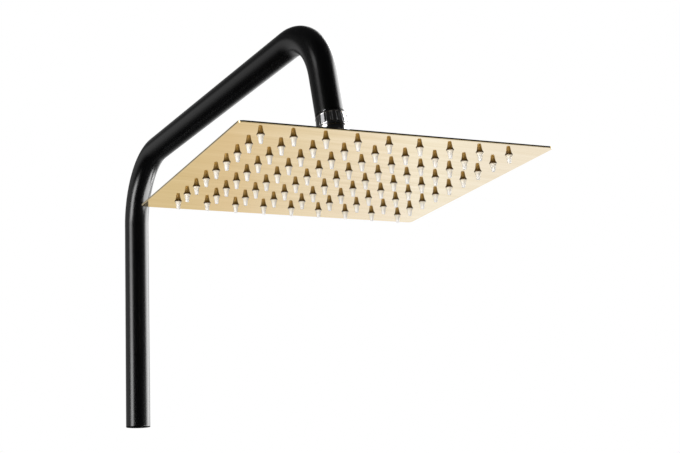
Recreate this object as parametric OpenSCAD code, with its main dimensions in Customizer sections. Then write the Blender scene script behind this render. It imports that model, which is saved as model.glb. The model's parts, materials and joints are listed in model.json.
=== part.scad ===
// Overhead rain shower: a bent riser-and-arm pipe, a swivel ball joint and a thin square head.
// Millimetres, +Z up. The origin is the centre of the riser's open lower end, and the arm runs
// along +X. The head is shown level, turned a few degrees on its ball, as it is used.

/* [Riser and arm pipe] */
// Outside diameter of the pipe
tube_d = 25; // [24:0.5:27]
// Wall of the pipe
tube_wall = 1.2; // [0.8:0.1:1.5]
// Height from the riser's lower end to where the riser and arm axes cross
riser_rise = 281; // [220:1:400]
// Level distance from the riser axis to where the arm and drop axes cross
arm_run = 434.5; // [300:0.5:500]
// Angle at which the arm climbs away from the riser
arm_climb = 1.1; // [0:0.1:6]
// Angle between the drop and the vertical
drop_lean = 14; // [0:0.5:16]
// Length along the drop from the crossing of the axes to the pipe's end
drop_reach = 88; // [70:1:110]
// Centre-line radius of the bend above the riser
riser_bend_r = 68; // [50:1:80]
// Centre-line radius of the bend above the drop
drop_bend_r = 63; // [45:1:65]

/* [Pipe end fittings] */
// Major diameter of the half-inch pipe thread on the nipple
thread_d = 20.955; // [20.7:0.005:21.2]
// Minor diameter of the half-inch pipe thread, which is the bore of the riser's bush
thread_minor_d = 18.631; // [18.2:0.001:18.9]
// Length of the fittings brazed inside the pipe's ends
fitting_len = 16; // [15:0.5:24]
// Length of thread in the riser's bush
bush_thread_len = 12; // [9:0.5:12]
// Thickness of the flat sealing washers
washer_t = 1.6; // [1.2:0.1:2]
// Waterway through the nipple, the washers and the bush's shoulder
waterway_d = 13; // [10:0.5:14]

/* [Swivel joint] */
// Diameter of the ball
ball_d = 18; // [17.6:0.1:18.4]
// Distance from the pipe's end to the centre of the ball
ball_drop = 24.5; // [22:0.5:32]
// Largest angle between the head's axis and the drop's axis
swivel_limit = 20; // [17:1:22]
// Waterway through the ball and its stem
stem_bore_d = 6.4; // [5:0.1:6.8]
// Neck between the ball and its spanner flange
neck_d = 9.2; // [8.8:0.1:9.6]
// Width across flats of the stem's spanner flange
flange_af = 21; // [20:0.5:24]
// Thickness of the spanner flange
flange_t = 3.4; // [3:0.1:6]
// Diameter of the stem's thread into the head
spigot_d = 16; // [12:0.5:17]
// Length of the stem's thread into the head
spigot_len = 9; // [6:0.5:10]
// Height of the rubber cup that seals on the ball
cup_h = 6.2; // [5:0.1:6.8]
// Bore through the rubber cup and its backing ring
cup_bore_d = 12.4; // [11:0.1:13.5]
// Thickness of the ring behind the rubber cup
backing_t = 1.4; // [1:0.1:2]
// Thickness of the flow regulator
regulator_t = 3.3; // [3:0.1:4]
// Cord diameter of the regulator's O-ring
oring_cord = 1.5; // [1.2:0.1:1.6]
// Thickness of the filter screen
screen_t = 0.5; // [0.3:0.1:0.6]
// Diameter of the filter screen
screen_d = 15; // [14.4:0.1:16]
// Depth of the seat ring below the centre of the ball
seat_depth = 5.2; // [4.8:0.1:5.4]

/* [Swivel nut] */
// Wall of the nut outside its thread
nut_wall = 2.2; // [1.4:0.1:3]
// Diameter of the bead below the facets
nut_base_d = 27.6; // [26:0.1:30]
// Diameter of the nut's lower rim
nut_lip_d = 22; // [21:0.1:23]
// Depth of the nut below the centre of the ball
nut_depth = 7; // [6.8:0.1:7.6]
// Height of the sloping shoulder at the nut's top
nut_shoulder_h = 2.2; // [1.5:0.1:4]
// Height of the band of facets
facet_band_h = 9.4; // [6:0.1:10]
// Number of facets, with a groove between each two
facet_count = 16; // [12:1:20]
// Depth of each groove
groove_depth = 0.6; // [0.3:0.05:0.6]
// Width of the round tool that cuts a groove
groove_d = 1.8; // [1:0.1:2]
// Height of the bead below the facets
bead_h = 3.6; // [2:0.1:4]
// Turn of the nut about its own axis
nut_turn = -5.5; // [-11:0.5:11]

/* [Head plates] */
// Side of the square head
head_side = 250; // [244:1:300]
// Turn of the head about its own axis
head_turn = -4.5; // [-45:0.5:45]
// Radius of the head's corners
corner_r = 4; // [2:0.5:8]
// Height of the head's rim
rim_h = 1.5; // [1.4:0.1:3]
// Size of the small bevels along the rim's edges
rim_bevel = 0.3; // [0.1:0.05:0.4]
// Thickness of the face plate's sheet
face_sheet = 0.6; // [0.5:0.05:0.8]
// Thickness of the top plate's sheet
top_sheet = 0.6; // [0.5:0.05:0.8]
// Width of the top plate's low border
border_w = 9; // [6:0.5:11]
// Rise of the top plate's pressed pan above its border
pan_rise = 1.5; // [1.4:0.1:4]
// Diameter of the pressed dome around the inlet
dome_d = 56; // [48:1:80]
// Rise of the dome above the pan
dome_rise = 2; // [1.6:0.1:6]
// Diameter of the inlet boss
boss_d = 26; // [24:0.5:32]
// Height of the inlet boss
boss_h = 8.7; // [8:0.1:20]
// Diameter of the spreader disc under the inlet
baffle_d = 32; // [24:1:36]
// Thickness of the spreader disc
baffle_t = 0.6; // [0.4:0.1:0.8]
// Diameter of the stays between the two plates
stay_d = 3; // [2:0.1:5]

/* [Nozzles] */
// Nozzles along each side of the grid
nozzle_rows = 9; // [5:1:9]
// Spacing of the nozzles
nozzle_pitch = 25; // [18:0.5:26]
// Length of a nozzle below the face
nozzle_len = 6.7; // [5:0.1:10]
// Diameter of a nozzle's flared foot against the face
nozzle_foot_d = 6; // [5.4:0.1:8]
// Diameter of a nozzle below its flare
nozzle_waist_d = 3.7; // [3.6:0.1:4.8]
// Diameter of a nozzle's tip
nozzle_tip_d = 2.6; // [2.4:0.1:3.2]
// Height of the flare
nozzle_flare_h = 2.2; // [1:0.1:3]
// Diameter of the hole in the face plate for a nozzle
nozzle_hole_d = 4.6; // [4:0.1:5]
// Diameter of a nozzle's flange behind the face plate
nozzle_flange_d = 8; // [6.5:0.1:9]
// Thickness of a nozzle's flange
nozzle_flange_t = 0.7; // [0.5:0.1:0.8]
// Diameter of a nozzle's outlet
outlet_d = 1.2; // [0.8:0.1:1.6]
// Diameter of a nozzle's inlet
inlet_d = 2.8; // [2:0.1:3]

/* [Hidden] */
$fn = 96;

// Clearances
fit_gap = 0.05;       // radial, in threads, brazed sockets and the ball's seats
seat_gap = 0.05;      // between flat faces that press on each other
bore_gap = 0.1;       // radial, around the loose rings in the nut
swing_gap = 1.2;      // between the nut and the spanner flange at the swivel's limit
throat_gap = 0.35;    // between the nut's throat and the neck at the swivel's limit
ball_gap = 0.45;      // radial, between the ball and the nut's bore
overrun = 1;          // how far a cut runs past what it cuts
edge_break = 0.4;     // bevel on the turned edges
nut_end_gap = 0.3;    // between the pipe's end and the nut's top

// Pipe path: two bends in the XZ plane
tube_r = tube_d / 2;
tube_bore_r = tube_r - tube_wall;
riser_turn = 90 - arm_climb;
drop_turn = 90 - drop_lean + arm_climb;
riser_tangent = riser_bend_r * tan(riser_turn / 2);
drop_tangent = drop_bend_r * tan(drop_turn / 2);
riser_straight = riser_rise - riser_tangent;
arm_straight = arm_run / cos(arm_climb) - riser_tangent - drop_tangent;
drop_straight = drop_reach - drop_tangent;
drop_top_z = riser_rise + arm_run * tan(arm_climb);
band_w = 1;           // half width of the faint band at each end of a bend
band_rise = 0.02;     // height of the band
band_inset = 0.1;     // how far a straight run ends inside the band

// Centre of the ball, in the part's frame
ball_x = arm_run + (drop_reach + ball_drop) * sin(drop_lean);
ball_z = drop_top_z - (drop_reach + ball_drop) * cos(drop_lean);

// Fittings in the pipe's ends
fitting_r = tube_bore_r - fit_gap;
waterway_r = waterway_d / 2;
bush_bore_r = thread_minor_d / 2;
bush_relief_r = bush_bore_r + edge_break;

// Heights in the swivel, above the centre of the ball along the drop
ball_r = ball_d / 2;
stem_bore_r = stem_bore_d / 2;
ball_land = 1.6;      // flat ring left around the bore on top of the ball
ball_top_z = sqrt(pow(ball_r, 2) - pow(stem_bore_r + ball_land, 2));
regulator_z = ball_r + edge_break;
backing_z = regulator_z - seat_gap - backing_t;
cup_z = backing_z - seat_gap - cup_h;
nut_step_z = regulator_z + regulator_t + seat_gap;
filter_z = nut_step_z + seat_gap;
nipple_end_z = filter_z + washer_t + seat_gap;
nut_top_z = ball_drop - nut_end_gap;

// Bores of the nut
nut_thread_r = thread_d / 2 + fit_gap;
nut_bore_r = ball_r + ball_gap;
ring_r = nut_bore_r - bore_gap;
lip_top_z = -seat_depth - seat_gap;
neck_r = neck_d / 2;
function neck_sweep(depth) = depth * tan(swivel_limit) + neck_r / cos(swivel_limit);
throat_r = neck_sweep(nut_depth) + throat_gap;

// Outline of the nut
nut_top_r = nut_thread_r + nut_wall;
nut_base_r = nut_base_d / 2;
nut_lip_r = nut_lip_d / 2;
shoulder_in = 1.4;    // how far the shoulder slopes in
shoulder_out = 0.1;   // how far the shoulder stands out over the facets' corners
bead_out = 0.2;       // how far the bead stands out over the facets' corners
neck_in = 0.7;        // how far the collar under the bead is set in
facets_top_z = nut_top_z - nut_shoulder_h;
facets_low_z = facets_top_z - facet_band_h;
facets_low_r = nut_base_r - bead_out;
facet_slope = atan((facets_low_r - nut_top_r) / facet_band_h);
bead_r = bead_h / 2;
collar_r = nut_base_r - neck_in;
facet_land = 0.3;     // plain height left at each end of a facet
groove_land = 0.6;    // plain height left at each end of a groove
collar_low_z = 2;     // where the collar starts to curve in towards the lip
collar_round = 1.5;   // height of the round under the collar

// Heights of the stem, below the centre of the ball
flange_top = nut_depth * cos(swivel_limit) + nut_lip_r * sin(swivel_limit) + swing_gap;
flange_low = flange_top + flange_t;
boss_top = flange_low + washer_t + 2 * seat_gap;

// Heights in the head, above the face's underside
border_top = rim_h - seat_gap;
border_low = border_top - top_sheet;
pan_top = border_top + pan_rise;
pan_low = pan_top - top_sheet;
dome_top = pan_top + dome_rise;
dome_low = dome_top - top_sheet;
head_drop = boss_top + boss_h + seat_gap + dome_top;
boss_bore_r = spigot_d / 2 + fit_gap;
dome_slope = dome_rise;          // the dome's side slopes at 45 degrees
boss_lip_wall = 1.6;             // wall of the lip that the boss has in the inlet hole
inlet_hole_r = boss_bore_r + boss_lip_wall;
baffle_z = pan_low - baffle_t;
leg_d = 2.4;                     // diameter of the spreader disc's legs
leg_ring_r = baffle_d / 2 - leg_d;
nozzle_first = -(nozzle_rows - 1) / 2 * nozzle_pitch;
cells = nozzle_rows - 1;
stay_cells = [for (i = [0 : 2 : cells / 2 - 1]) each [i, cells - 1 - i]];

// Places children on the drop's axis, with the centre of the ball as origin and +Z up the pipe
module on_drop() {
    translate([ball_x, 0, ball_z]) rotate([0, -drop_lean, 0]) children();
}

// Places children on the head's axis, with the centre of the ball as origin
module on_stem() {
    translate([ball_x, 0, ball_z]) rotate([0, 0, head_turn]) children();
}

// Places children on the head's axis, with the face's underside as z = 0
module on_face() {
    on_stem() translate([0, 0, -head_drop]) children();
}

// A ring or tube from z0 to z1
module ring(r_out, r_in, z0, z1) {
    difference() {
        translate([0, 0, z0]) cylinder(r = r_out, h = z1 - z0);
        translate([0, 0, z0 - overrun]) cylinder(r = r_in, h = z1 - z0 + 2 * overrun);
    }
}

// A solid bar bent from +Z towards +X
module bend(r, bend_r, turn) {
    translate([bend_r, 0, 0]) rotate([90, 0, 0]) mirror([1, 0, 0])
        rotate_extrude(angle = turn) translate([bend_r, 0]) circle(r = r);
}

// Places children past a bend, with +Z along the way on
module past_bend(bend_r, turn) {
    translate([bend_r * (1 - cos(turn)), 0, bend_r * sin(turn)]) rotate([0, turn, 0]) children();
}

// The faint band that the bending die leaves round the start or end of a bend
module die_band(r) {
    rotate_extrude() polygon([
        [0, -band_w],
        [r - band_rise, -band_w],
        [r + band_rise, -band_w / 3],
        [r + band_rise, band_w / 3],
        [r - band_rise, band_w],
        [0, band_w]
    ]);
}

// A straight run from z0 to z1, with a band at each height where a bend meets it
module straight(r, z0, z1, bands) {
    translate([0, 0, z0]) cylinder(r = r, h = z1 - z0);
    for (z = bands) translate([0, 0, z]) die_band(r);
}

// The pipe's path as a solid bar, lengthened by extra at both ends
module pipe_path(r, extra) {
    straight(r, -extra, riser_straight - band_inset, [riser_straight]);
    translate([0, 0, riser_straight]) {
        bend(r, riser_bend_r, riser_turn);
        past_bend(riser_bend_r, riser_turn) {
            straight(r, band_inset, arm_straight - band_inset, [0, arm_straight]);
            translate([0, 0, arm_straight]) {
                bend(r, drop_bend_r, drop_turn);
                past_bend(drop_bend_r, drop_turn)
                    straight(r, band_inset, drop_straight + extra, [0]);
            }
        }
    }
}

module riser_arm_pipe() {
    color("#141414") difference() {
        pipe_path(tube_r, 0);
        pipe_path(tube_bore_r, overrun);
    }
}

// Female thread for the pipe below, with a relief that holds the washer under a shoulder
module riser_end_bush() {
    color("#141414") difference() {
        cylinder(r = fitting_r, h = fitting_len);
        translate([0, 0, -overrun]) cylinder(r = bush_bore_r, h = bush_thread_len + 2 * overrun);
        translate([0, 0, bush_thread_len])
            cylinder(r = bush_relief_r, h = washer_t + 2 * seat_gap);
        translate([0, 0, -overrun]) cylinder(r = waterway_r, h = fitting_len + 2 * overrun);
    }
}

module riser_end_washer() {
    color("#303030") ring(bush_relief_r - bore_gap, waterway_r + bore_gap,
        bush_thread_len + seat_gap, bush_thread_len + seat_gap + washer_t);
}

module arm_end_nipple() {
    color("#1a1a1c") on_drop() difference() {
        union() {
            translate([0, 0, ball_drop]) cylinder(r = fitting_r, h = fitting_len);
            translate([0, 0, nipple_end_z])
                cylinder(r = thread_d / 2, h = ball_drop - nipple_end_z);
        }
        translate([0, 0, nipple_end_z - overrun])
            cylinder(r = waterway_r, h = ball_drop + fitting_len - nipple_end_z + 2 * overrun);
    }
}

// Outside of the nut as turned, from the lip up, with its bead
module nut_outline() {
    rotate_extrude() polygon([
        [0, -nut_depth],
        [nut_lip_r - edge_break, -nut_depth],
        [nut_lip_r, edge_break - nut_depth],
        [(nut_lip_r + collar_r) / 2, (collar_low_z - nut_depth) / 2],
        [collar_r - edge_break / 2, collar_low_z - collar_round],
        [collar_r, collar_low_z],
        [collar_r, facets_low_z],
        [facets_low_r, facets_low_z],
        [nut_top_r, facets_top_z],
        [nut_top_r + shoulder_out, facets_top_z],
        [nut_top_r + shoulder_out, facets_top_z + edge_break],
        [nut_top_r - shoulder_in, nut_top_z],
        [0, nut_top_z]
    ]);
    translate([0, 0, facets_low_z - bead_r]) rotate_extrude()
        translate([nut_base_r - bead_r, 0]) circle(r = bead_r);
}

// Places children on a corner of the band of facets, with +Z up its slope
module on_corner(turn, z) {
    rotate([0, 0, turn]) translate([facets_low_r, 0, facets_low_z]) rotate([0, -facet_slope, 0])
        translate([0, 0, z]) children();
}

// What is milled off the band: a flat for each facet, and a groove at each corner
module facet_cuts() {
    step = 360 / facet_count;
    flat_in = facets_low_r * (1 - cos(step / 2));
    slope_h = facet_band_h / cos(facet_slope);
    for (k = [0 : facet_count - 1]) {
        on_corner((k + 0.5) * step, facet_land) translate([-flat_in, -facets_low_r / 2, 0])
            cube([overrun, facets_low_r, slope_h - 2 * facet_land]);
        on_corner(k * step, groove_land) translate([groove_d / 2 - groove_depth, 0, 0])
            cylinder(d = groove_d, h = slope_h - 2 * groove_land, $fn = 32);
    }
}

module swivel_nut() {
    color("#1a1a1c") on_drop() difference() {
        nut_outline();
        translate([0, 0, nut_step_z]) cylinder(r = nut_thread_r, h = nut_top_z);
        translate([0, 0, lip_top_z]) cylinder(r = nut_bore_r, h = nut_step_z - lip_top_z + overrun);
        translate([0, 0, -nut_depth - overrun]) cylinder(r = throat_r, h = nut_depth);
        rotate([0, 0, nut_turn]) facet_cuts();
    }
}

// Flat washer under the nipple's end, with a rebate for the filter screen
module filter_washer() {
    color("#303030") on_drop() difference() {
        ring(nut_thread_r - bore_gap, waterway_r, filter_z, filter_z + washer_t);
        translate([0, 0, filter_z + (washer_t - screen_t) / 2 - seat_gap])
            cylinder(r = screen_d / 2 + fit_gap, h = screen_t + 2 * seat_gap);
    }
}

// Perforated screen held in the washer's rebate
module filter_screen() {
    hole_d = 1.1;
    hole_pitch = 1.6;
    reach = waterway_r - hole_d;
    last = floor(reach / hole_pitch);
    color("#b8b8b8") on_drop() translate([0, 0, filter_z + (washer_t - screen_t) / 2]) difference() {
        cylinder(r = screen_d / 2, h = screen_t);
        for (i = [-last : last], j = [-last : last])
            if (norm([i, j]) * hole_pitch < reach)
                translate([i * hole_pitch, j * hole_pitch, -overrun])
                    cylinder(d = hole_d, h = screen_t + 2 * overrun, $fn = 16);
    }
}

// Plastic disc with a ring of metering holes and a groove for its O-ring
module flow_regulator() {
    groove_h = oring_cord + 2 * seat_gap;
    metering_d = 2.2;
    metering_holes = 8;
    color("#d8d4c4") on_drop() translate([0, 0, regulator_z]) difference() {
        cylinder(r = ring_r, h = regulator_t);
        translate([0, 0, (regulator_t - groove_h) / 2])
            ring(ring_r + overrun, nut_bore_r - oring_cord - 2 * seat_gap, 0, groove_h);
        for (k = [1 : metering_holes]) rotate([0, 0, k * 360 / metering_holes])
            translate([ring_r / 2, 0, -overrun])
                cylinder(d = metering_d, h = regulator_t + 2 * overrun, $fn = 24);
    }
}

module regulator_oring() {
    cord_r = oring_cord / 2;
    color("#202020") on_drop() translate([0, 0, regulator_z + regulator_t / 2])
        rotate_extrude() translate([nut_bore_r - seat_gap - cord_r, 0]) circle(r = cord_r, $fn = 24);
}

module cup_backing_ring() {
    color("#e0dccb") on_drop() ring(ring_r, cup_bore_d / 2, backing_z, backing_z + backing_t);
}

// Rubber cup with a spherical seat that presses on the top of the ball
module ball_cup_seal() {
    color("#282828") on_drop() difference() {
        ring(ring_r, cup_bore_d / 2, cup_z, cup_z + cup_h);
        sphere(r = ball_r + fit_gap);
    }
}

// Plastic ring between the lower half of the ball and the nut's lip
module ball_seat_ring() {
    top_z = -seat_depth / 4;
    color("#e8e4d6") on_drop() difference() {
        translate([0, 0, -seat_depth]) cylinder(r = ring_r, h = seat_depth + top_z);
        sphere(r = ball_r + fit_gap);
        translate([0, 0, -seat_depth - overrun])
            cylinder(r = neck_sweep(seat_depth) + throat_gap, h = 2 * overrun);
    }
}

// Drilled ball, neck, spanner flange and threaded spigot in one piece
module ball_stem() {
    color("#1a1a1c") on_stem() difference() {
        union() {
            intersection() {
                sphere(r = ball_r);
                translate([0, 0, -ball_r]) cylinder(r = ball_r + overrun, h = ball_r + ball_top_z);
            }
            translate([0, 0, -flange_top - overrun]) cylinder(r = neck_r, h = flange_top);
            translate([0, 0, -flange_low])
                cylinder(d = flange_af / cos(30), h = flange_t, $fn = 6);
            translate([0, 0, -flange_low - spigot_len]) cylinder(d = spigot_d, h = spigot_len + overrun);
        }
        translate([0, 0, -flange_low - spigot_len - overrun])
            cylinder(r = stem_bore_r, h = flange_low + spigot_len + ball_d);
    }
}

module inlet_washer() {
    color("#303030") on_stem() ring(flange_af / 2 - edge_break, boss_bore_r + bore_gap,
        seat_gap - boss_top, seat_gap - boss_top + washer_t);
}

// Threaded boss, with a lip that sits in the top plate's hole
module inlet_boss() {
    foot = -boss_top - boss_h;
    bevel = 2 * edge_break;
    color("#c9a45c") on_stem() difference() {
        union() {
            translate([0, 0, foot]) rotate_extrude() polygon([
                [0, 0],
                [boss_d / 2, 0],
                [boss_d / 2, boss_h - bevel],
                [boss_d / 2 - bevel, boss_h],
                [0, boss_h]
            ]);
            translate([0, 0, foot - top_sheet])
                cylinder(r = inlet_hole_r - fit_gap, h = top_sheet + overrun);
        }
        translate([0, 0, foot - top_sheet - overrun])
            cylinder(r = boss_bore_r, h = boss_h + top_sheet + 2 * overrun);
    }
}

// A square with round corners
module round_square(side, r) {
    square([side - 2 * r, side], center = true);
    square([side, side - 2 * r], center = true);
    for (x = [-1, 1], y = [-1, 1])
        translate([x * (side / 2 - r), y * (side / 2 - r)]) circle(r = r);
}

// Pressed sheet: a low border, a raised pan and a domed middle with the inlet hole
module top_plate() {
    border_side = head_side - 2 * (face_sheet + fit_gap);
    border_r = corner_r - face_sheet - fit_gap;
    pan_side = head_side - 2 * (face_sheet + border_w);
    dome_r = dome_d / 2;
    color("#d2b06a") on_face() difference() {
        union() {
            translate([0, 0, border_low])
                linear_extrude(top_sheet) round_square(border_side, border_r);
            translate([0, 0, border_low])
                linear_extrude(pan_top - border_low) round_square(pan_side, corner_r);
            translate([0, 0, pan_low])
                cylinder(r1 = dome_r + top_sheet, r2 = dome_r - dome_slope, h = dome_top - pan_low);
        }
        translate([0, 0, border_low - overrun])
            linear_extrude(pan_low - border_low + overrun)
                round_square(pan_side - 2 * top_sheet, corner_r - top_sheet);
        translate([0, 0, pan_low - overrun]) cylinder(r1 = dome_r + overrun,
            r2 = dome_r - dome_slope - top_sheet, h = dome_low - pan_low + overrun);
        translate([0, 0, pan_low]) cylinder(r = inlet_hole_r, h = dome_top);
    }
}

// Disc that spreads the inlet's jet, hung from the dome on three legs
module inlet_baffle() {
    color("#b8b8b8") on_face() {
        translate([0, 0, baffle_z]) cylinder(d = baffle_d, h = baffle_t);
        for (k = [0, 120, 240]) rotate([0, 0, k]) translate([leg_ring_r, 0, baffle_z])
            cylinder(d = leg_d, h = dome_low - baffle_z - seat_gap, $fn = 24);
    }
}

// Short stays between the two plates, in every second cell of the grid outside the dome
module plate_stays() {
    color("#b8b8b8") on_face() for (i = stay_cells, j = stay_cells) {
        place = [for (k = [i, j]) nozzle_first + (k + 0.5) * nozzle_pitch];
        if (norm(place) > dome_d / 2 + top_sheet + stay_d)
            translate([place[0], place[1], face_sheet + seat_gap])
                cylinder(d = stay_d, h = pan_low - face_sheet - 2 * seat_gap, $fn = 24);
    }
}

// Cross-section of the rim, with its outer face at x = corner_r
module rim_section() {
    bulge = rim_bevel * (1 - sqrt(0.5));
    polygon([
        [corner_r - face_sheet, 0],
        [corner_r - rim_bevel, 0],
        [corner_r - bulge, bulge],
        [corner_r, rim_bevel],
        [corner_r, rim_h - rim_bevel],
        [corner_r - bulge, rim_h - bulge],
        [corner_r - rim_bevel, rim_h],
        [corner_r - face_sheet, rim_h]
    ]);
}

// Sheet with an upturned rim all round and a grid of nozzle holes
module face_plate() {
    reach = head_side / 2 - corner_r;
    sheet_in = rim_bevel + seat_gap;
    color("#d9b873") on_face() difference() {
        union() {
            linear_extrude(face_sheet)
                round_square(head_side - 2 * sheet_in, corner_r - sheet_in);
            for (k = [0 : 3]) rotate([0, 0, k * 90]) {
                translate([reach, reach, 0]) rotate_extrude(angle = 90) rim_section();
                translate([reach, reach, 0]) rotate([90, 0, 0])
                    linear_extrude(2 * reach) rim_section();
            }
        }
        nozzle_grid() translate([0, 0, -overrun])
            cylinder(d = nozzle_hole_d, h = face_sheet + 2 * overrun, $fn = 32);
    }
}

module nozzle_grid() {
    for (i = [0 : nozzle_rows - 1], j = [0 : nozzle_rows - 1])
        translate([nozzle_first + i * nozzle_pitch, nozzle_first + j * nozzle_pitch, 0]) children();
}

// One soft nozzle: a flange behind the face, a neck in the hole, a flared foot and a taper
module nozzle() {
    foot_r = nozzle_foot_d / 2;
    waist_r = nozzle_waist_d / 2;
    tip_r = nozzle_tip_d / 2;
    tip_round = 0.3;
    outlet_len = 1.5;
    neck = nozzle_hole_d / 2 - fit_gap;
    flange_z = face_sheet + seat_gap;
    function flare_r(share) = waist_r + share * (foot_r - waist_r);
    rotate_extrude($fn = 32) polygon([
        [inlet_d / 2, flange_z + nozzle_flange_t],
        [nozzle_flange_d / 2, flange_z + nozzle_flange_t],
        [nozzle_flange_d / 2, flange_z],
        [neck, flange_z],
        [neck, -seat_gap],
        [foot_r, -seat_gap],
        [foot_r, -0.1 * nozzle_flare_h],
        [flare_r(0.5), -0.55 * nozzle_flare_h],
        [flare_r(0.12), -nozzle_flare_h],
        [waist_r, -1.4 * nozzle_flare_h],
        [tip_r, tip_round - nozzle_len],
        [tip_r - tip_round, -nozzle_len],
        [outlet_d / 2, -nozzle_len],
        [outlet_d / 2, outlet_len - nozzle_len],
        [inlet_d / 2, -nozzle_flare_h]
    ]);
}

module nozzles() {
    color("#f2efe8") on_face() nozzle_grid() nozzle();
}

riser_arm_pipe();
riser_end_bush();
riser_end_washer();
arm_end_nipple();
swivel_nut();
filter_washer();
filter_screen();
flow_regulator();
regulator_oring();
cup_backing_ring();
ball_cup_seal();
ball_seat_ring();
ball_stem();
inlet_washer();
inlet_boss();
top_plate();
inlet_baffle();
plate_stays();
face_plate();
nozzles();
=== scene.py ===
import json
import math

import bpy
from mathutils import Matrix, Vector


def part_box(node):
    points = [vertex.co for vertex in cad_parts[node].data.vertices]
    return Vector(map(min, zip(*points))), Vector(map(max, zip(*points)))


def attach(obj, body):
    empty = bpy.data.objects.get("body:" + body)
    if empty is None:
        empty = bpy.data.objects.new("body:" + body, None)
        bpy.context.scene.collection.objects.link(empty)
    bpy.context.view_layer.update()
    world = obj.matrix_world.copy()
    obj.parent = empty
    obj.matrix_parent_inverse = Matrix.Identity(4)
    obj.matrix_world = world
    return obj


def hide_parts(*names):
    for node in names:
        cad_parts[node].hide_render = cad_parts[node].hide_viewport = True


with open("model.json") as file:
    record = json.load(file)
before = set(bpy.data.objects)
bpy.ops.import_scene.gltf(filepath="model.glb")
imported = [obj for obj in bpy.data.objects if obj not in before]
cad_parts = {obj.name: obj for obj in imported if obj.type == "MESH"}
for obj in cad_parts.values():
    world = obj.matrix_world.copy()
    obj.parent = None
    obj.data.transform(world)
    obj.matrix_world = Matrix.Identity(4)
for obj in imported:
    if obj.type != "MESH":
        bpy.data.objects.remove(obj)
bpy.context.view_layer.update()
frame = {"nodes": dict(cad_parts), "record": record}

NODES = frame["nodes"]
MM = 0.001

# Centre of the ball, as the record has it
BALL = Vector(frame["record"]["behaviour"]["joints"][0]["pos_m"])

# Pipe path, in millimetres and degrees
TUBE_D, TUBE_WALL = 25, 1.2
RISER_RISE, ARM_RUN, ARM_CLIMB = 281, 434.5, 1.1
DROP_LEAN, DROP_REACH = 14, 88
RISER_BEND_R, DROP_BEND_R = 68, 63

# Swivel nut, with heights above the centre of the ball
NUT_TOP_Z, NUT_TOP_D = 24.2, 25.5
SHOULDER_H, SHOULDER_IN, SHOULDER_OUT = 2.2, 1.4, 0.1
FACET_BAND_H, FACET_COUNT, FACETS_LOW_D = 9.4, 16, 27.2
GROOVE_D, GROOVE_DEPTH = 1.8, 0.6
FACET_LAND = 0.3
BEAD_D, BEAD_H = 27.6, 3.6
COLLAR_D, COLLAR_LOW_Z = 26.2, 2
LIP_D, LIP_Z, THROAT_D = 22, -7, 15.6
NUT_BORE_D, NUT_BORE_LOW_Z, NUT_BORE_TOP_Z = 18.9, -5.25, 12.75
NUT_THREAD_D = 21.05
NUT_TURN = -5.5

# Head
HEAD_TURN = -4.5
FACE_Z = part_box("face_plate")[0].z
NOZZLE_ROWS, NOZZLE_PITCH, NOZZLE_LEN = 9, 25, 6.7
FOOT_D, WAIST_D, TIP_D, FLARE_H = 6.0, 3.7, 2.6, 2.2
HOLE_D, FLANGE_D, FLANGE_LOW_Z, FLANGE_TOP_Z = 4.5, 8, 0.65, 1.35
OUTLET_D, OUTLET_LEN, INLET_D = 1.2, 1.5, 2.8


# Node helpers

def node(tree, kind, inputs=(), **settings):
    """A node of that kind, with its settings and inputs. An input is a value or another node's output."""
    made = tree.nodes.new("ShaderNode" + kind)
    for name, value in settings.items():
        setattr(made, name, value)
    for key, value in dict(inputs).items():
        if isinstance(value, bpy.types.NodeSocket):
            tree.links.new(value, made.inputs[key])
        else:
            made.inputs[key].default_value = value
    return made


def principled(name, **constants):
    """A new material's node tree and its Principled shader. Constants are set on the shader's own sockets."""
    material = bpy.data.materials.new(name)
    material.use_nodes = True
    shader = material.node_tree.nodes["Principled BSDF"]
    for key, value in constants.items():
        shader.inputs[key.replace("_", " ")].default_value = value
    return material, material.node_tree, shader


def colour_mix(tree, factor, first, second):
    """A colour between first and second."""
    mix = node(tree, "Mix", {0: factor}, data_type="RGBA")
    for key, value in ((6, first), (7, second)):
        if isinstance(value, bpy.types.NodeSocket):
            tree.links.new(value, mix.inputs[key])
        else:
            mix.inputs[key].default_value = (*value, 1)
    return mix.outputs[2]


def noise(tree, place, scale, detail=2.0, rough=0.5):
    return node(tree, "TexNoise", {"Vector": place, "Scale": scale, "Detail": detail, "Roughness": rough})


def maths(tree, operation, *values):
    return node(tree, "Math", dict(enumerate(values)), operation=operation).outputs[0]


def along(tree, place, axis):
    """How far a place lies along an axis."""
    return node(tree, "VectorMath", {0: place, 1: tuple(axis)}, operation="DOT_PRODUCT").outputs["Value"]


def spread(tree, value, low, high, start=0.0, end=1.0, kind="LINEAR"):
    """A value from start to end, mapped to low to high and held there."""
    made = node(tree, "MapRange", {0: value, 1: start, 2: end, 3: low, 4: high}, interpolation_type=kind)
    return made.outputs[0]


def object_place(tree, stretch=(1, 1, 1), turn=0.0):
    """The place on the object in metres, turned about Z and stretched."""
    source = node(tree, "TexCoord").outputs["Object"]
    settings = {"Vector": source, "Rotation": (0, 0, turn), "Scale": stretch}
    return node(tree, "Mapping", settings).outputs[0]


def bump(tree, shader, height, strength, distance):
    made = node(tree, "Bump", {"Strength": strength, "Distance": distance, "Height": height})
    tree.links.new(made.outputs[0], shader.inputs["Normal"])


# Materials

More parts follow.
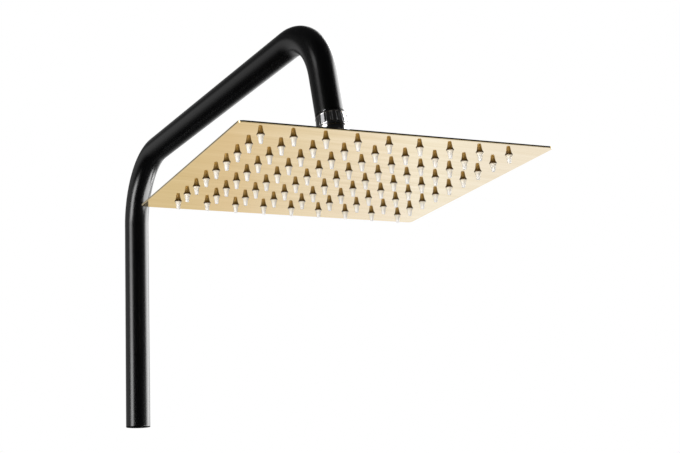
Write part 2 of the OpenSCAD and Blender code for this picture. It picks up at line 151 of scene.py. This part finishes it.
def satin_black():
    """Satin black coat on the pipe, with a fine orange-peel texture."""
    material, tree, shader = principled("satin_black_coat", IOR=1.5)
    place = object_place(tree)
    peel = noise(tree, place, 900, 2)
    cloud = noise(tree, place, 22, 3)
    tree.links.new(spread(tree, cloud.outputs[0], 0.22, 0.27), shader.inputs["Roughness"])
    tint = colour_mix(tree, cloud.outputs[0], (0.0006, 0.0006, 0.0007), (0.0012, 0.0012, 0.0014))
    tree.links.new(tint, shader.inputs["Base Color"])
    bump(tree, shader, peel.outputs[0], 0.06, 0.0002)
    return material


def gloss_black():
    """Polished black-nickel plate on the nut and the stem, with duller plating and painted shade in the nut's
    grooves, where it is rougher, not metallic and nearly black.
    """
    material, tree, shader = principled("black_nickel_plate")
    groove = node(tree, "Attribute", attribute_name="groove").outputs["Fac"]
    place = object_place(tree)
    cloud = noise(tree, place, 60, 3)
    fine = noise(tree, place, 1500, 2)
    shine = spread(tree, cloud.outputs[0], 0.10, 0.16)
    tree.links.new(maths(tree, "MULTIPLY_ADD", groove, 0.3, shine), shader.inputs["Roughness"])
    tint = colour_mix(tree, cloud.outputs[0], (0.52, 0.52, 0.53), (0.60, 0.60, 0.61))
    # Painted shade: the grooves are painted nearly black and not metallic.
    tint = colour_mix(tree, groove, tint, (0.004, 0.004, 0.004))
    tree.links.new(tint, shader.inputs["Base Color"])
    tree.links.new(spread(tree, groove, 1.0, 0.0), shader.inputs["Metallic"])
    bump(tree, shader, fine.outputs[0], 0.05, 0.0001)
    return material


def gold():
    """Mirror-polished sheet with a pale gold coat and faint streaks along the rolling direction."""
    material, tree, shader = principled("gold_mirror", Metallic=1.0)
    turn = math.radians(-HEAD_TURN)
    bands = noise(tree, object_place(tree, (90, 5, 20), turn), 1.0, 4, 0.7)
    hairs = noise(tree, object_place(tree, (2400, 30, 200), turn), 1.0, 2)
    cloud = noise(tree, object_place(tree, (9, 9, 9)), 1.0, 2)
    streak = spread(tree, bands.outputs[0], 0, 1, 0.3, 0.7)
    tint = colour_mix(tree, streak, (0.78, 0.60, 0.29), (0.91, 0.75, 0.45))
    tint = colour_mix(tree, spread(tree, cloud.outputs[0], 0.0, 0.35), tint, (0.84, 0.66, 0.38))
    tree.links.new(tint, shader.inputs["Base Color"])
    tree.links.new(spread(tree, hairs.outputs[0], 0.03, 0.07), shader.inputs["Roughness"])
    bump(tree, shader, bands.outputs[0], 0.15, 0.0002)
    return material


def metal(name, first, second, rough):
    """Plain turned or pressed metal."""
    material, tree, shader = principled(name, Metallic=1.0)
    grain = noise(tree, object_place(tree, (1, 1, 6)), 300, 3)
    tree.links.new(colour_mix(tree, grain.outputs[0], first, second), shader.inputs["Base Color"])
    tree.links.new(spread(tree, grain.outputs[0], rough - 0.06, rough + 0.08), shader.inputs["Roughness"])
    bump(tree, shader, grain.outputs[0], 0.15, 0.0001)
    return material


def soft(name, first, second, rough):
    """Moulded rubber or plastic."""
    material, tree, shader = principled(name)
    place = object_place(tree)
    cloud = noise(tree, place, 180, 3)
    fine = noise(tree, place, 2500, 2)
    tree.links.new(colour_mix(tree, cloud.outputs[0], first, second), shader.inputs["Base Color"])
    tree.links.new(spread(tree, cloud.outputs[0], rough - 0.05, rough + 0.08), shader.inputs["Roughness"])
    bump(tree, shader, fine.outputs[0], 0.08, 0.0001)
    return material


def silicone():
    """White silicone with painted shade: darker and warmer towards the foot, with a painted dark contact-shadow
    ring at the plate. Its mirror image is a painted dark brown reflection.
    """
    material, tree, shader = principled("white_silicone", IOR=1.41, Transmission_Weight=0.42)
    place = object_place(tree)
    cloud = noise(tree, place, 180, 3)
    fine = noise(tree, place, 2500, 2)
    white = colour_mix(tree, cloud.outputs[0], (0.88, 0.875, 0.86), (0.95, 0.945, 0.93))
    height = node(tree, "SeparateXYZ", {0: place}).outputs["Z"]
    # Painted shade: darker warm beige towards the foot, where the plate shades the nozzle.
    foot_shade_ramp = maths(tree, "POWER", spread(tree, height, 0.0, 1.0, FACE_Z - NOZZLE_LEN * MM, FACE_Z), 1.5)
    white = colour_mix(tree, foot_shade_ramp, white, (0.80, 0.70, 0.52))
    # Painted contact shadow: a dark brown ring where the nozzle meets the plate.
    in_shade = spread(tree, height, 0.0, 1.0, FACE_Z - 0.9 * MM, FACE_Z - 0.3 * MM)
    white = colour_mix(tree, in_shade, white, (0.10, 0.05, 0.01))
    # Painted reflection: the nozzles' mirror images are painted dark brown, darkest at the foot.
    painted_dark_reflection = colour_mix(tree, foot_shade_ramp, (0.36, 0.23, 0.06), (0.03, 0.014, 0.001))
    mirrored = node(tree, "LightPath").outputs["Is Glossy Ray"]
    tree.links.new(colour_mix(tree, mirrored, white, painted_dark_reflection), shader.inputs["Base Color"])
    tree.links.new(spread(tree, cloud.outputs[0], 0.3, 0.42), shader.inputs["Roughness"])
    bump(tree, shader, fine.outputs[0], 0.08, 0.0001)
    return material


def make_materials():
    return {
        "satin_black": satin_black(),
        "gloss_black": gloss_black(),
        "gold": gold(),
        "stainless": metal("mill_steel", (0.50, 0.50, 0.49), (0.63, 0.62, 0.60), 0.32),
        "black_rubber": soft("black_rubber_seal", (0.015, 0.015, 0.015), (0.03, 0.03, 0.03), 0.55),
        "white_plastic": soft("white_acetal", (0.72, 0.70, 0.63), (0.82, 0.80, 0.74), 0.38),
        "silicone": silicone(),
    }


# Outlines and meshes

def rounded(corners, steps=4):
    """Points along a line through corners (r, z, radius), with each corner rounded to its radius."""
    points = []
    for i, (r, z, radius) in enumerate(corners):
        here = Vector((r, z))
        if radius == 0 or i in (0, len(corners) - 1):
            points.append(here)
            continue
        before = (Vector(corners[i - 1][:2]) - here).normalized()
        after = (Vector(corners[i + 1][:2]) - here).normalized()
        half = before.angle(after) / 2
        centre = here + (before + after).normalized() * radius / math.sin(half)
        start = (here + before * radius / math.tan(half) - centre).normalized()
        end = (here + after * radius / math.tan(half) - centre).normalized()
        points += [centre + start.slerp(end, k / steps) * radius for k in range(steps + 1)]
    return points


def arc(r, z, radius, first, last, steps):
    """Points on an arc round (r, z), between two angles in degrees above the level."""
    angles = [math.radians(first + (last - first) * k / steps) for k in range(steps + 1)]
    return [Vector((r + radius * math.cos(a), z + radius * math.sin(a))) for a in angles]


def mesh_piece(name, points, faces, material, body, node_name):
    """A smooth mesh that rides on a body and stands for a CAD node."""
    mesh = bpy.data.meshes.new(name)
    mesh.from_pydata([tuple(p) for p in points], [], faces)
    mesh.materials.append(material)
    mesh.shade_smooth()
    piece = bpy.data.objects.new(name, mesh)
    bpy.context.scene.collection.objects.link(piece)
    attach(piece, body)
    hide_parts(node_name)
    return piece


def ring_faces(rings, count, start=0):
    """Quads between rings of count points each, with the last ring joined to the first."""
    faces = []
    for i in range(rings):
        here, there = start + i * count, start + (i + 1) % rings * count
        for k in range(count):
            after = (k + 1) % count
            faces.append((here + k, here + after, there + after, there + k))
    return faces


# Pipe

def pipe_path():
    """Places along the pipe's centre line, as (x, z, angle of the way on from +Z towards +X), in mm."""
    climb = math.radians(ARM_CLIMB)
    stations = []
    x = z = turn = 0.0

    def run(length, steps):
        nonlocal x, z
        for _ in range(steps):
            x += math.sin(turn) * length / steps
            z += math.cos(turn) * length / steps
            stations.append((x, z, turn))

    def bend(radius, angle, steps):
        nonlocal x, z, turn
        for _ in range(steps):
            x += radius * (math.cos(turn) - math.cos(turn + angle / steps))
            z += radius * (math.sin(turn + angle / steps) - math.sin(turn))
            turn += angle / steps
            stations.append((x, z, turn))

    riser_turn = math.pi / 2 - climb
    drop_turn = math.pi / 2 - math.radians(DROP_LEAN) + climb
    riser_tangent = RISER_BEND_R * math.tan(riser_turn / 2)
    drop_tangent = DROP_BEND_R * math.tan(drop_turn / 2)
    stations.append((x, z, turn))
    run(RISER_RISE - riser_tangent, 12)
    bend(RISER_BEND_R, riser_turn, 48)
    run(ARM_RUN / math.cos(climb) - riser_tangent - drop_tangent, 16)
    bend(DROP_BEND_R, drop_turn, 48)
    run(DROP_REACH - drop_tangent, 4)
    return stations


def make_pipe(materials):
    """The bent pipe with its bore and softly broken rims."""
    around = 128
    r_out = TUBE_D / 2
    r_in = r_out - TUBE_WALL
    stations = pipe_path()
    broken, knee = 0.25, 0.08
    steps = [(0.0, r_out - broken), (knee, r_out - knee), (broken, r_out), (2 * broken, r_out)]
    first, last = stations[0], stations[-1]

    def moved(station, along):
        x, z, turn = station
        return x + math.sin(turn) * along, z + math.cos(turn) * along, turn

    loop = [(moved(first, a), r) for a, r in steps]
    loop += [(s, r_out) for s in stations[1:-1]]
    loop += [(moved(last, -a), r) for a, r in reversed(steps)]
    inner = [(0.0, r_in + broken), (knee, r_in + knee), (broken, r_in), (2 * broken, r_in)]
    loop += [(moved(last, -a), r) for a, r in inner]
    loop += [(s, r_in) for s in reversed(stations[1:-1])]
    loop += [(moved(first, a), r) for a, r in reversed(inner)]
    points = []
    for (x, z, turn), r in loop:
        side = Vector((math.cos(turn), 0, -math.sin(turn)))
        for k in range(around):
            a = 2 * math.pi * k / around
            way = side * math.cos(a) + Vector((0, 1, 0)) * math.sin(a)
            points.append((Vector((x, 0, z)) + r * way) * MM)
    return mesh_piece("pipe", points, ring_faces(len(loop), around),
                      materials["satin_black"], "arm", "riser_arm_pipe")


# Swivel nut

FACETS_TOP_Z = NUT_TOP_Z - SHOULDER_H
FACETS_LOW_Z = FACETS_TOP_Z - FACET_BAND_H


def nut_profile():
    """Outline of the nut from its lip up the outside and back down its bore, as (r, z)."""
    bead_r = BEAD_H / 2
    top_r, low_r = NUT_TOP_D / 2, FACETS_LOW_D / 2
    band_steps = (0, 0.02, 0.045, 0.07, 0.1, 0.3, 0.5, 0.7, 0.9, 0.93, 0.955, 0.98, 1)
    outline = rounded([
        (THROAT_D / 2, LIP_Z, 0), (LIP_D / 2, LIP_Z, 0.5), (COLLAR_D / 2, COLLAR_LOW_Z, 6),
        (COLLAR_D / 2, FACETS_LOW_Z - BEAD_H, 0)], 6)
    outline += arc(BEAD_D / 2 - bead_r, FACETS_LOW_Z - bead_r, bead_r, -48, 50, 14)
    outline += [Vector((COLLAR_D / 2, FACETS_LOW_Z - 0.02))]
    outline += [Vector((low_r + (top_r - low_r) * t, FACETS_LOW_Z + FACET_BAND_H * t)) for t in band_steps]
    outline += rounded([
        (top_r, FACETS_TOP_Z, 0), (top_r + SHOULDER_OUT, FACETS_TOP_Z + 0.1, 0.1),
        (top_r + SHOULDER_OUT, FACETS_TOP_Z + 0.7, 1.8), (top_r - SHOULDER_IN, NUT_TOP_Z, 0.3),
        (NUT_THREAD_D / 2, NUT_TOP_Z, 0)])[1:]
    outline += [Vector((d / 2, z)) for d, z in (
        (NUT_THREAD_D, NUT_BORE_TOP_Z), (NUT_BORE_D, NUT_BORE_TOP_Z),
        (NUT_BORE_D, NUT_BORE_LOW_Z), (THROAT_D, NUT_BORE_LOW_Z))]
    return outline


def facet_radius(r, from_corner):
    """Radius of the faceted band, at an angle in radians from the nearest corner."""
    half = math.pi / FACET_COUNT
    flat = r * math.cos(half) / math.cos(half - from_corner)
    tool_r, aside = GROOVE_D / 2, from_corner * r
    if aside >= tool_r:
        return flat
    return min(flat, r - GROOVE_DEPTH + tool_r - math.sqrt(tool_r ** 2 - aside ** 2))


def make_nut(materials):
    """The swivel nut, with flat facets, round grooves between them and a bead below."""
    outline = nut_profile()
    shares = (0, 0.06, 0.12, 0.17, 0.21, 0.24, 0.27, 0.33, 0.5, 0.67, 0.73, 0.76, 0.79, 0.83, 0.88, 0.94)
    step = 2 * math.pi / FACET_COUNT
    angles = [((k + share) * step, min(share, 1 - share) * step)
              for k in range(FACET_COUNT) for share in shares]
    place = (Matrix.Translation(BALL) @ Matrix.Rotation(math.radians(-DROP_LEAN), 4, "Y")
             @ Matrix.Rotation(math.radians(NUT_TURN), 4, "Z"))
    points, grooves = [], []
    for r, z in outline:
        outside = r > NUT_THREAD_D / 2 + 0.5
        faceted = outside and FACETS_LOW_Z + FACET_LAND / 2 < z < FACETS_TOP_Z - FACET_LAND / 2
        for angle, from_corner in angles:
            radius = facet_radius(r, from_corner) if faceted else r
            points.append(place @ (Vector((radius * math.cos(angle), radius * math.sin(angle), z)) * MM))
            grooves.append(float(faceted and from_corner * r < GROOVE_D / 2))
    nut = mesh_piece("faceted_nut", points, ring_faces(len(outline), len(angles)),
                     materials["gloss_black"], "arm", "swivel_nut")
    # The groove mask carries the painted shade in the grooves.
    nut.data.attributes.new("groove", "FLOAT", "POINT").data.foreach_set("value", grooves)


# Nozzles

def nozzle_profile():
    """Outline of a nozzle from its bore out round the tip and up behind the face, as (r, z)."""
    foot, waist, tip = FOOT_D / 2, WAIST_D / 2, TIP_D / 2
    return rounded([
        (INLET_D / 2, -FLARE_H, 0), (OUTLET_D / 2, OUTLET_LEN - NOZZLE_LEN, 0),
        (OUTLET_D / 2, -NOZZLE_LEN, 0.12), (tip, -NOZZLE_LEN, 0.45),
        (waist, -1.4 * FLARE_H, 4.0), (waist + 0.35 * (foot - waist), -0.6 * FLARE_H, 2.0),
        (foot, -0.2, 0.1), (foot, -0.05, 0), (HOLE_D / 2, -0.05, 0), (HOLE_D / 2, FLANGE_LOW_Z, 0),
        (FLANGE_D / 2, FLANGE_LOW_Z, 0), (FLANGE_D / 2, FLANGE_TOP_Z, 0), (INLET_D / 2, FLANGE_TOP_Z, 0)], 3)


def make_nozzles(materials):
    """The square grid of nozzles in one mesh."""
    around = 32
    profile = nozzle_profile()
    turn = math.radians(HEAD_TURN)
    first = -(NOZZLE_ROWS - 1) / 2 * NOZZLE_PITCH
    ring = [(math.cos(2 * math.pi * k / around), math.sin(2 * math.pi * k / around)) for k in range(around)]
    points, faces = [], []
    for i in range(NOZZLE_ROWS):
        for j in range(NOZZLE_ROWS):
            x, y = first + i * NOZZLE_PITCH, first + j * NOZZLE_PITCH
            centre = Vector((BALL.x, BALL.y, FACE_Z)) + Vector((
                x * math.cos(turn) - y * math.sin(turn), x * math.sin(turn) + y * math.cos(turn), 0)) * MM
            faces += ring_faces(len(profile), around, len(points))
            points += [centre + Vector((r * c, r * s, z)) * MM for r, z in profile for c, s in ring]
    mesh_piece("nozzle_grid", points, faces, materials["silicone"], "head", "nozzles")


# Stage and light

CAMERA_PLACE = Vector((1.47385, -0.5335, -0.1516))
CAMERA_LOOK = Vector((-0.8617, 0.4555, 0.2238))
CAMERA_ROLL = -2.23
FOCAL_PIXELS, PHOTO_WIDTH = 1492, 680
FRONT = Vector((-CAMERA_LOOK.x, -CAMERA_LOOK.y, 0)).normalized()
RIGHT = Vector((-FRONT.y, FRONT.x, 0))
PANEL_POWER, HIGH_LAMP_POWER = 7.0, 2.6
OBJECT_MIDDLE = Vector((0.3, 0, 0.15))
FLOOR_HALF, FLOOR_Z = 5, -1.2


def make_camera():
    data = bpy.data.cameras.new("camera")
    data.sensor_width = 36
    data.lens = FOCAL_PIXELS / PHOTO_WIDTH * data.sensor_width
    data.clip_start, data.clip_end = 0.05, 60
    camera = bpy.data.objects.new("camera", data)
    bpy.context.scene.collection.objects.link(camera)
    look = CAMERA_LOOK.normalized()
    right = look.cross(Vector((0, 0, 1))).normalized()
    up = right.cross(look)
    roll = math.radians(CAMERA_ROLL)
    x_axis = right * math.cos(roll) + up * math.sin(roll)
    y_axis = up * math.cos(roll) - right * math.sin(roll)
    axes = Matrix((x_axis, y_axis, -look)).transposed().to_4x4()
    camera.matrix_world = Matrix.Translation(CAMERA_PLACE) @ axes
    bpy.context.scene.camera = camera


def ramp(tree, value, low, high, stops):
    """A colour that follows a value from low to high through stops of (value, colour)."""
    made = node(tree, "ValToRGB", {0: spread(tree, value, 0, 1, low, high)})
    elements = made.color_ramp.elements
    for element, (at, colour) in ((elements[0], stops[0]), (elements[1], stops[-1])):
        element.position, element.color = (at - low) / (high - low), (*colour, 1)
    for at, colour in stops[1:-1]:
        elements.new((at - low) / (high - low)).color = (*colour, 1)
    return made.outputs[0]


def window(tree, value, centre, half, soft_edge):
    """1 where the value is within half of the centre, and 0 outside, with a soft edge."""
    away = maths(tree, "ABSOLUTE", maths(tree, "SUBTRACT", value, centre))
    return spread(tree, away, 1.0, 0.0, half - soft_edge, half + soft_edge, "SMOOTHSTEP")


def greys(stops):
    """Ramp stops of (value, colour) from stops of (value, level)."""
    return [(at, (level, level, level)) for at, level in stops]


def studio_walls(tree, angle, lift, ahead):
    """Grey walls on the left and right and a dim one behind, darker high up and low down."""
    walls = ramp(tree, angle, -180, 180, greys([
        (-120, 0.34), (-105, 0.45), (-85, 0.5), (-72, 0.3), (-45, 0.0),
        (60, 0.0), (78, 0.1), (95, 0.4), (130, 0.4)]))
    high = maths(tree, "MULTIPLY", spread(tree, lift, 1.0, 0.16, 13, 21),
                 spread(tree, lift, 1.0, 0.3, 28, 38))
    low = spread(tree, lift, 0.02, 1.0, -20, -2)
    behind = spread(tree, ahead, 0.4, 0.0, -0.9, -0.7)
    rear = maths(tree, "MULTIPLY", behind, window(tree, lift, 21, 19, 8))
    walls = maths(tree, "MAXIMUM", maths(tree, "MULTIPLY", walls, high), rear)
    return maths(tree, "ADD", maths(tree, "MULTIPLY", walls, low), spread(tree, lift, 0.003, 0.014, 24, 36))


def studio_strip(tree, angle, lift, below):
    """A tall lamp on the left, brightest near the level, that leans to the left above and below it."""
    lean = maths(tree, "MAXIMUM", maths(tree, "MULTIPLY", lift, 0.7), maths(tree, "MULTIPLY", below, 0.45))
    strip = window(tree, maths(tree, "ADD", angle, lean), -45.5, 12.5, 5)
    strip = maths(tree, "MULTIPLY", strip, spread(tree, lift, 9.4, 0.5, 4, 24))
    return maths(tree, "MULTIPLY", strip, window(tree, lift, -5, 33, 8))


def studio_panel(tree, angle, lift, below):
    """A wide panel on the right, with a wider part above. Below the level it is dim and leans to the front."""
    panel = ramp(tree, maths(tree, "MULTIPLY_ADD", below, 0.9, angle), 80, 180, greys([
        (92, 0), (104, 1), (134, 1), (150, 0.2), (170, 0.12), (179, 0.06)]))
    fall = maths(tree, "MULTIPLY", window(tree, lift, -4, 43, 11), spread(tree, lift, 0.12, 1.0, -9, -3))
    high = maths(tree, "MULTIPLY", window(tree, angle, 130, 36, 9), window(tree, lift, 27, 12, 3))
    return maths(tree, "MAXIMUM", maths(tree, "MULTIPLY", panel, fall), high)


def studio_level(tree):
    """Brightness of the studio in each direction.

    It is black in front. Angles are in degrees, right of the camera's side of the object and above the level.
    """
    place = node(tree, "TexCoord").outputs["Generated"]
    across, ahead = along(tree, place, RIGHT), along(tree, place, FRONT)
    angle = maths(tree, "DEGREES", maths(tree, "ARCTAN2", across, ahead))
    lift = maths(tree, "DEGREES", maths(tree, "ARCSINE", node(tree, "SeparateXYZ", {0: place}).outputs["Z"]))
    below = maths(tree, "MAXIMUM", maths(tree, "MULTIPLY", lift, -1.0), 0.0)
    high_lamp = maths(tree, "MULTIPLY", window(tree, angle, -68, 12, 5), window(tree, lift, 39, 5, 4))
    level = maths(tree, "ADD", studio_walls(tree, angle, lift, ahead), studio_strip(tree, angle, lift, below))
    level = maths(tree, "MULTIPLY_ADD", studio_panel(tree, angle, lift, below), PANEL_POWER, level)
    return maths(tree, "MULTIPLY_ADD", high_lamp, HIGH_LAMP_POWER, level)


def make_world():
    """White where the camera looks, also through the silicone, and the studio for reflections."""
    world = bpy.data.worlds.new("studio")
    world.use_nodes = True
    bpy.context.scene.world = world
    tree = world.node_tree
    tree.nodes.clear()
    lit = node(tree, "Background", {"Color": (1, 1, 1, 1), "Strength": studio_level(tree)})
    seen = node(tree, "Background", {"Color": (1, 1, 1, 1), "Strength": 1.0})
    path = node(tree, "LightPath")
    direct = maths(tree, "MAXIMUM", path.outputs["Is Camera Ray"], path.outputs["Is Transmission Ray"])
    mix = node(tree, "MixShader", {0: direct, 1: lit.outputs[0], 2: seen.outputs[0]})
    out = node(tree, "OutputWorld")
    tree.links.new(mix.outputs[0], out.inputs[0])


def light_only(lamp, pieces):
    """Lets a lamp or card light those pieces alone, and show in their mirror images."""
    lit = bpy.data.collections.new("lit_by_" + lamp.name)
    for piece in pieces:
        lit.objects.link(piece)
    lamp.light_linking.receiver_collection = lit
    lamp.visible_glossy = True


def softbox(name, angle, lift, distance, width, height, level):
    """A soft lamp that no mirror shows, at an angle right of the camera's side, aimed at the object.

    Its level is its brightness, at which 1 shows a colour as it is written in a mirror.
    """
    data = bpy.data.lights.new(name, "AREA")
    data.shape = "RECTANGLE"
    data.size, data.size_y = width, height
    data.energy = level * width * height * math.pi
    lamp = bpy.data.objects.new(name, data)
    bpy.context.scene.collection.objects.link(lamp)
    lamp.visible_camera = False
    lamp.visible_glossy = False
    aside, up = math.radians(angle), math.radians(lift)
    way = (FRONT * math.cos(aside) + RIGHT * math.sin(aside)) * math.cos(up) + Vector((0, 0, math.sin(up)))
    lamp.rotation_mode = "QUATERNION"
    lamp.rotation_quaternion = way.to_track_quat("Z", "Y")
    lamp.location = OBJECT_MIDDLE + way * distance
    return lamp


def mirrored_once(lamp, hole=0.0):
    """Keeps a lamp out of mirror images of mirror images. Its dark hole has a radius in shares of its width."""
    lamp.data.use_nodes = True
    tree = lamp.data.node_tree
    once = maths(tree, "LESS_THAN", node(tree, "LightPath").outputs["Glossy Depth"], 1.5)
    place = node(tree, "NewGeometry").outputs["Parametric"]
    away = node(tree, "VectorMath", {0: place, 1: (0.5, 0.5, 0)}, operation="DISTANCE").outputs["Value"]
    shown = maths(tree, "MULTIPLY", once, maths(tree, "GREATER_THAN", away, hole))
    glow = node(tree, "Emission", {"Strength": shown})
    tree.links.new(glow.outputs[0], tree.nodes["Light Output"].inputs["Surface"])


def make_gold_fills():
    """A pale ceiling for the top plate and its boss, and a pale ground for the face.

    The ground's hole keeps the face's rim dark.
    """
    fills = (("ceiling", 90, 1.0, 0.0, ("top_plate", "inlet_boss")),
             ("ground", -90, 0.6, 0.11, ("face_plate",)))
    for name, lift, distance, hole, lit in fills:
        fill = softbox(name, 0, lift, distance, width=7, height=7, level=0.8)
        light_only(fill, [NODES[piece] for piece in lit])
        mirrored_once(fill, hole)


def make_side_panel(pipe):
    """The right panel's lower part, for the pipe's bend. The face plate's image of the pipe has none of it."""
    side_panel = softbox("side_panel", 118, -32, distance=1.4, width=2.3, height=1.1, level=9.0)
    light_only(side_panel, [pipe])
    mirrored_once(side_panel)


def make_card():
    """A card behind the riser, warm on its left and pale on its right, that lights only the face plate."""
    distance, width, low, high = 0.8, 0.66, -0.22, 0.01
    middle = Vector((BALL.x, BALL.y, 0)) - FRONT * distance
    corners = [(-1, low), (1, low), (1, high), (-1, high)]
    points = [tuple(RIGHT * side * width / 2 + Vector((0, 0, z))) for side, z in corners]
    mesh = bpy.data.meshes.new("card")
    mesh.from_pydata(points, [], [(0, 1, 2, 3)])
    card = bpy.data.objects.new("card", mesh)
    card.location = middle
    bpy.context.scene.collection.objects.link(card)
    material, tree, shader = principled("card_glow", Roughness=1.0)
    across = along(tree, object_place(tree), RIGHT)
    tint = ramp(tree, across, -0.3, 0.3, [
        (-0.22, (0.64, 0.57, 0.42)), (-0.145, (0.68, 0.60, 0.48)), (-0.055, (0.75, 0.72, 0.68)),
        (0.055, (0.82, 0.82, 0.87)), (0.12, (0.86, 0.90, 0.99)), (0.22, (0.83, 0.86, 0.97))])
    glow = node(tree, "Emission", {"Color": tint, "Strength": 1.2})
    tree.links.new(glow.outputs[0], tree.nodes["Material Output"].inputs["Surface"])
    tree.nodes.remove(shader)
    mesh.materials.append(material)
    card.visible_camera = False
    card.visible_diffuse = False
    card.visible_shadow = False
    light_only(card, [NODES["face_plate"]])


def make_stage():
    make_camera()
    make_world()
    make_card()
    softbox("front_fill", -8, -22, distance=2.4, width=0.9, height=0.9, level=19.0)
    make_gold_fills()
    bpy.context.scene.view_settings.view_transform = "Standard"
    mesh = bpy.data.meshes.new("floor")
    corners = [(-1, -1), (1, -1), (1, 1), (-1, 1)]
    mesh.from_pydata([(x * FLOOR_HALF, y * FLOOR_HALF, FLOOR_Z) for x, y in corners], [], [(0, 1, 2, 3)])
    floor = bpy.data.objects.new("floor", mesh)
    bpy.context.scene.collection.objects.link(floor)
    material, tree, shader = principled("pale_floor", Roughness=0.9)
    grain = noise(tree, object_place(tree), 3, 3)
    tree.links.new(colour_mix(tree, grain.outputs[0], (0.84, 0.84, 0.84), (0.88, 0.88, 0.88)),
                   shader.inputs["Base Color"])
    mesh.materials.append(material)
    floor.visible_glossy = False


def dress_cad_nodes(materials):
    """Gives each shown CAD node the material of its slot in the record."""
    for part in frame["record"]["subparts"]:
        piece = NODES[part["node"]]
        for slot in piece.material_slots:
            slot.material = materials[part["material_slot"]]


materials = make_materials()
make_stage()
dress_cad_nodes(materials)
pipe = make_pipe(materials)
make_side_panel(pipe)
make_nut(materials)
make_nozzles(materials)
